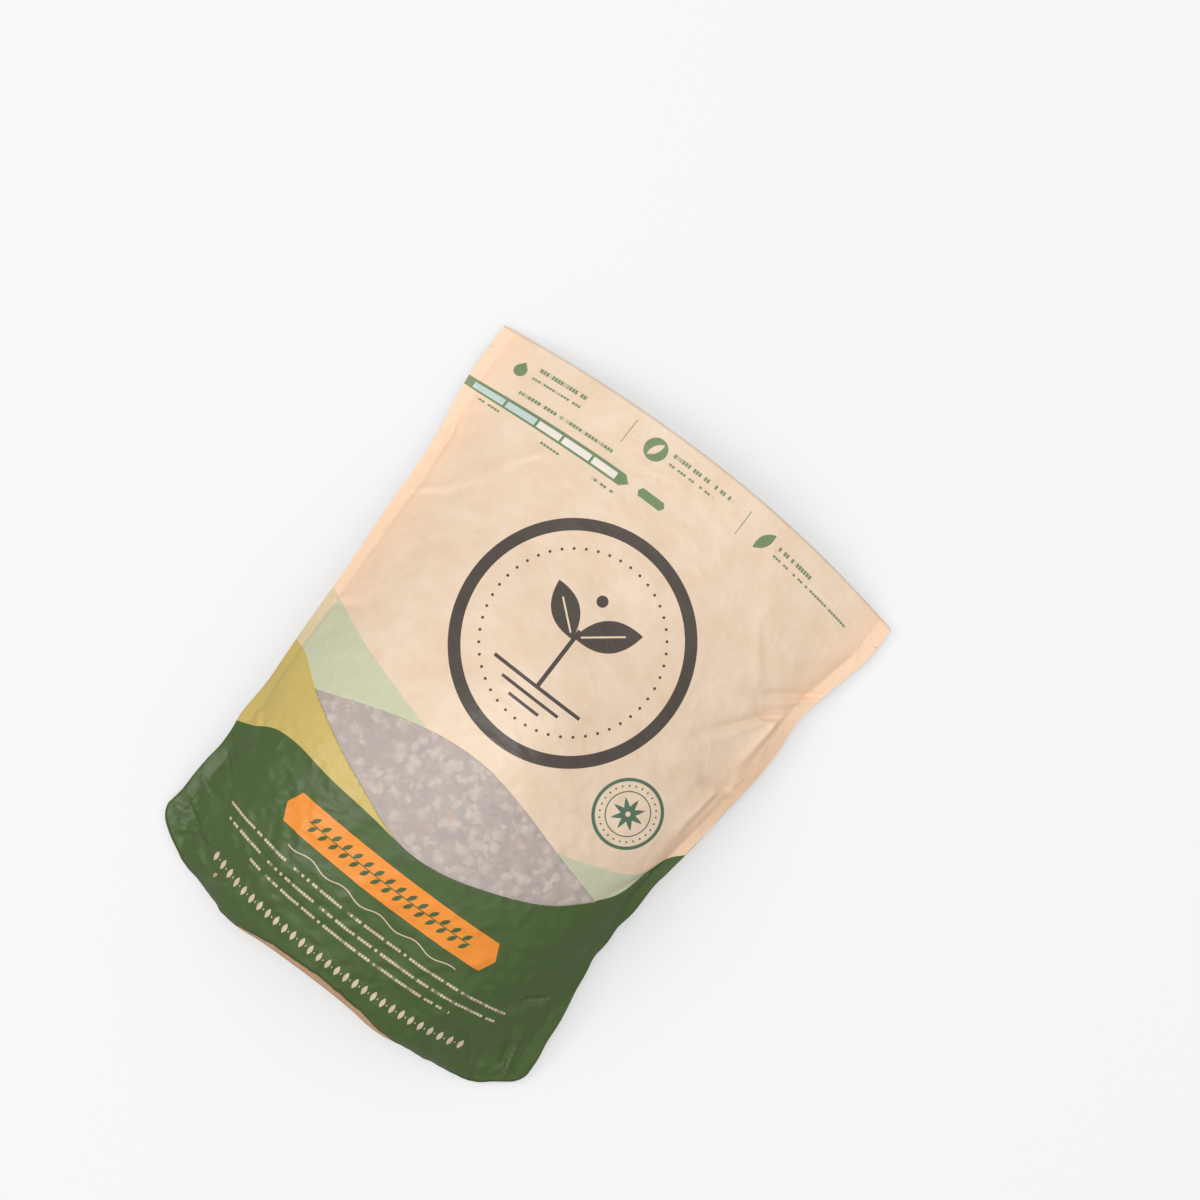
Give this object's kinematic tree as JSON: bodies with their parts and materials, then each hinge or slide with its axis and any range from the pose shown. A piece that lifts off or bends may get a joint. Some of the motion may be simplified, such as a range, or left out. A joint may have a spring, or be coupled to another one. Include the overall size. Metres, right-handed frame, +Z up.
{
  "type": "compost bag",
  "caption": "Open stand-up film pouch of gritty compost mix, lying on its back, with side seals, folded bottom web, press-to-close zip and clear window.",
  "frame": {"origin": "on the surface the bag lies on, under the middle of its box", "axes": "+X across the bag, +Y along the bag to its open mouth, +Z up through the front panel"},
  "size_m": [0.255, 0.331, 0.0773],
  "materials": {
    "kraft_film": "matte, paper-look",
    "tan_film": "matte",
    "clear_film": "hazy, matte",
    "zip_plastic": "satin",
    "gritty_mix": "loose grit"
  },
  "bodies": {
    "root": {"front_panel": "kraft_film", "back_panel": "kraft_film", "bottom_gusset": "tan_film", "window_film": "clear_film", "zip_strip_front": "zip_plastic", "zip_strip_back": "zip_plastic", "growing_mix": "gritty_mix"}
  },
  "joints": []
}
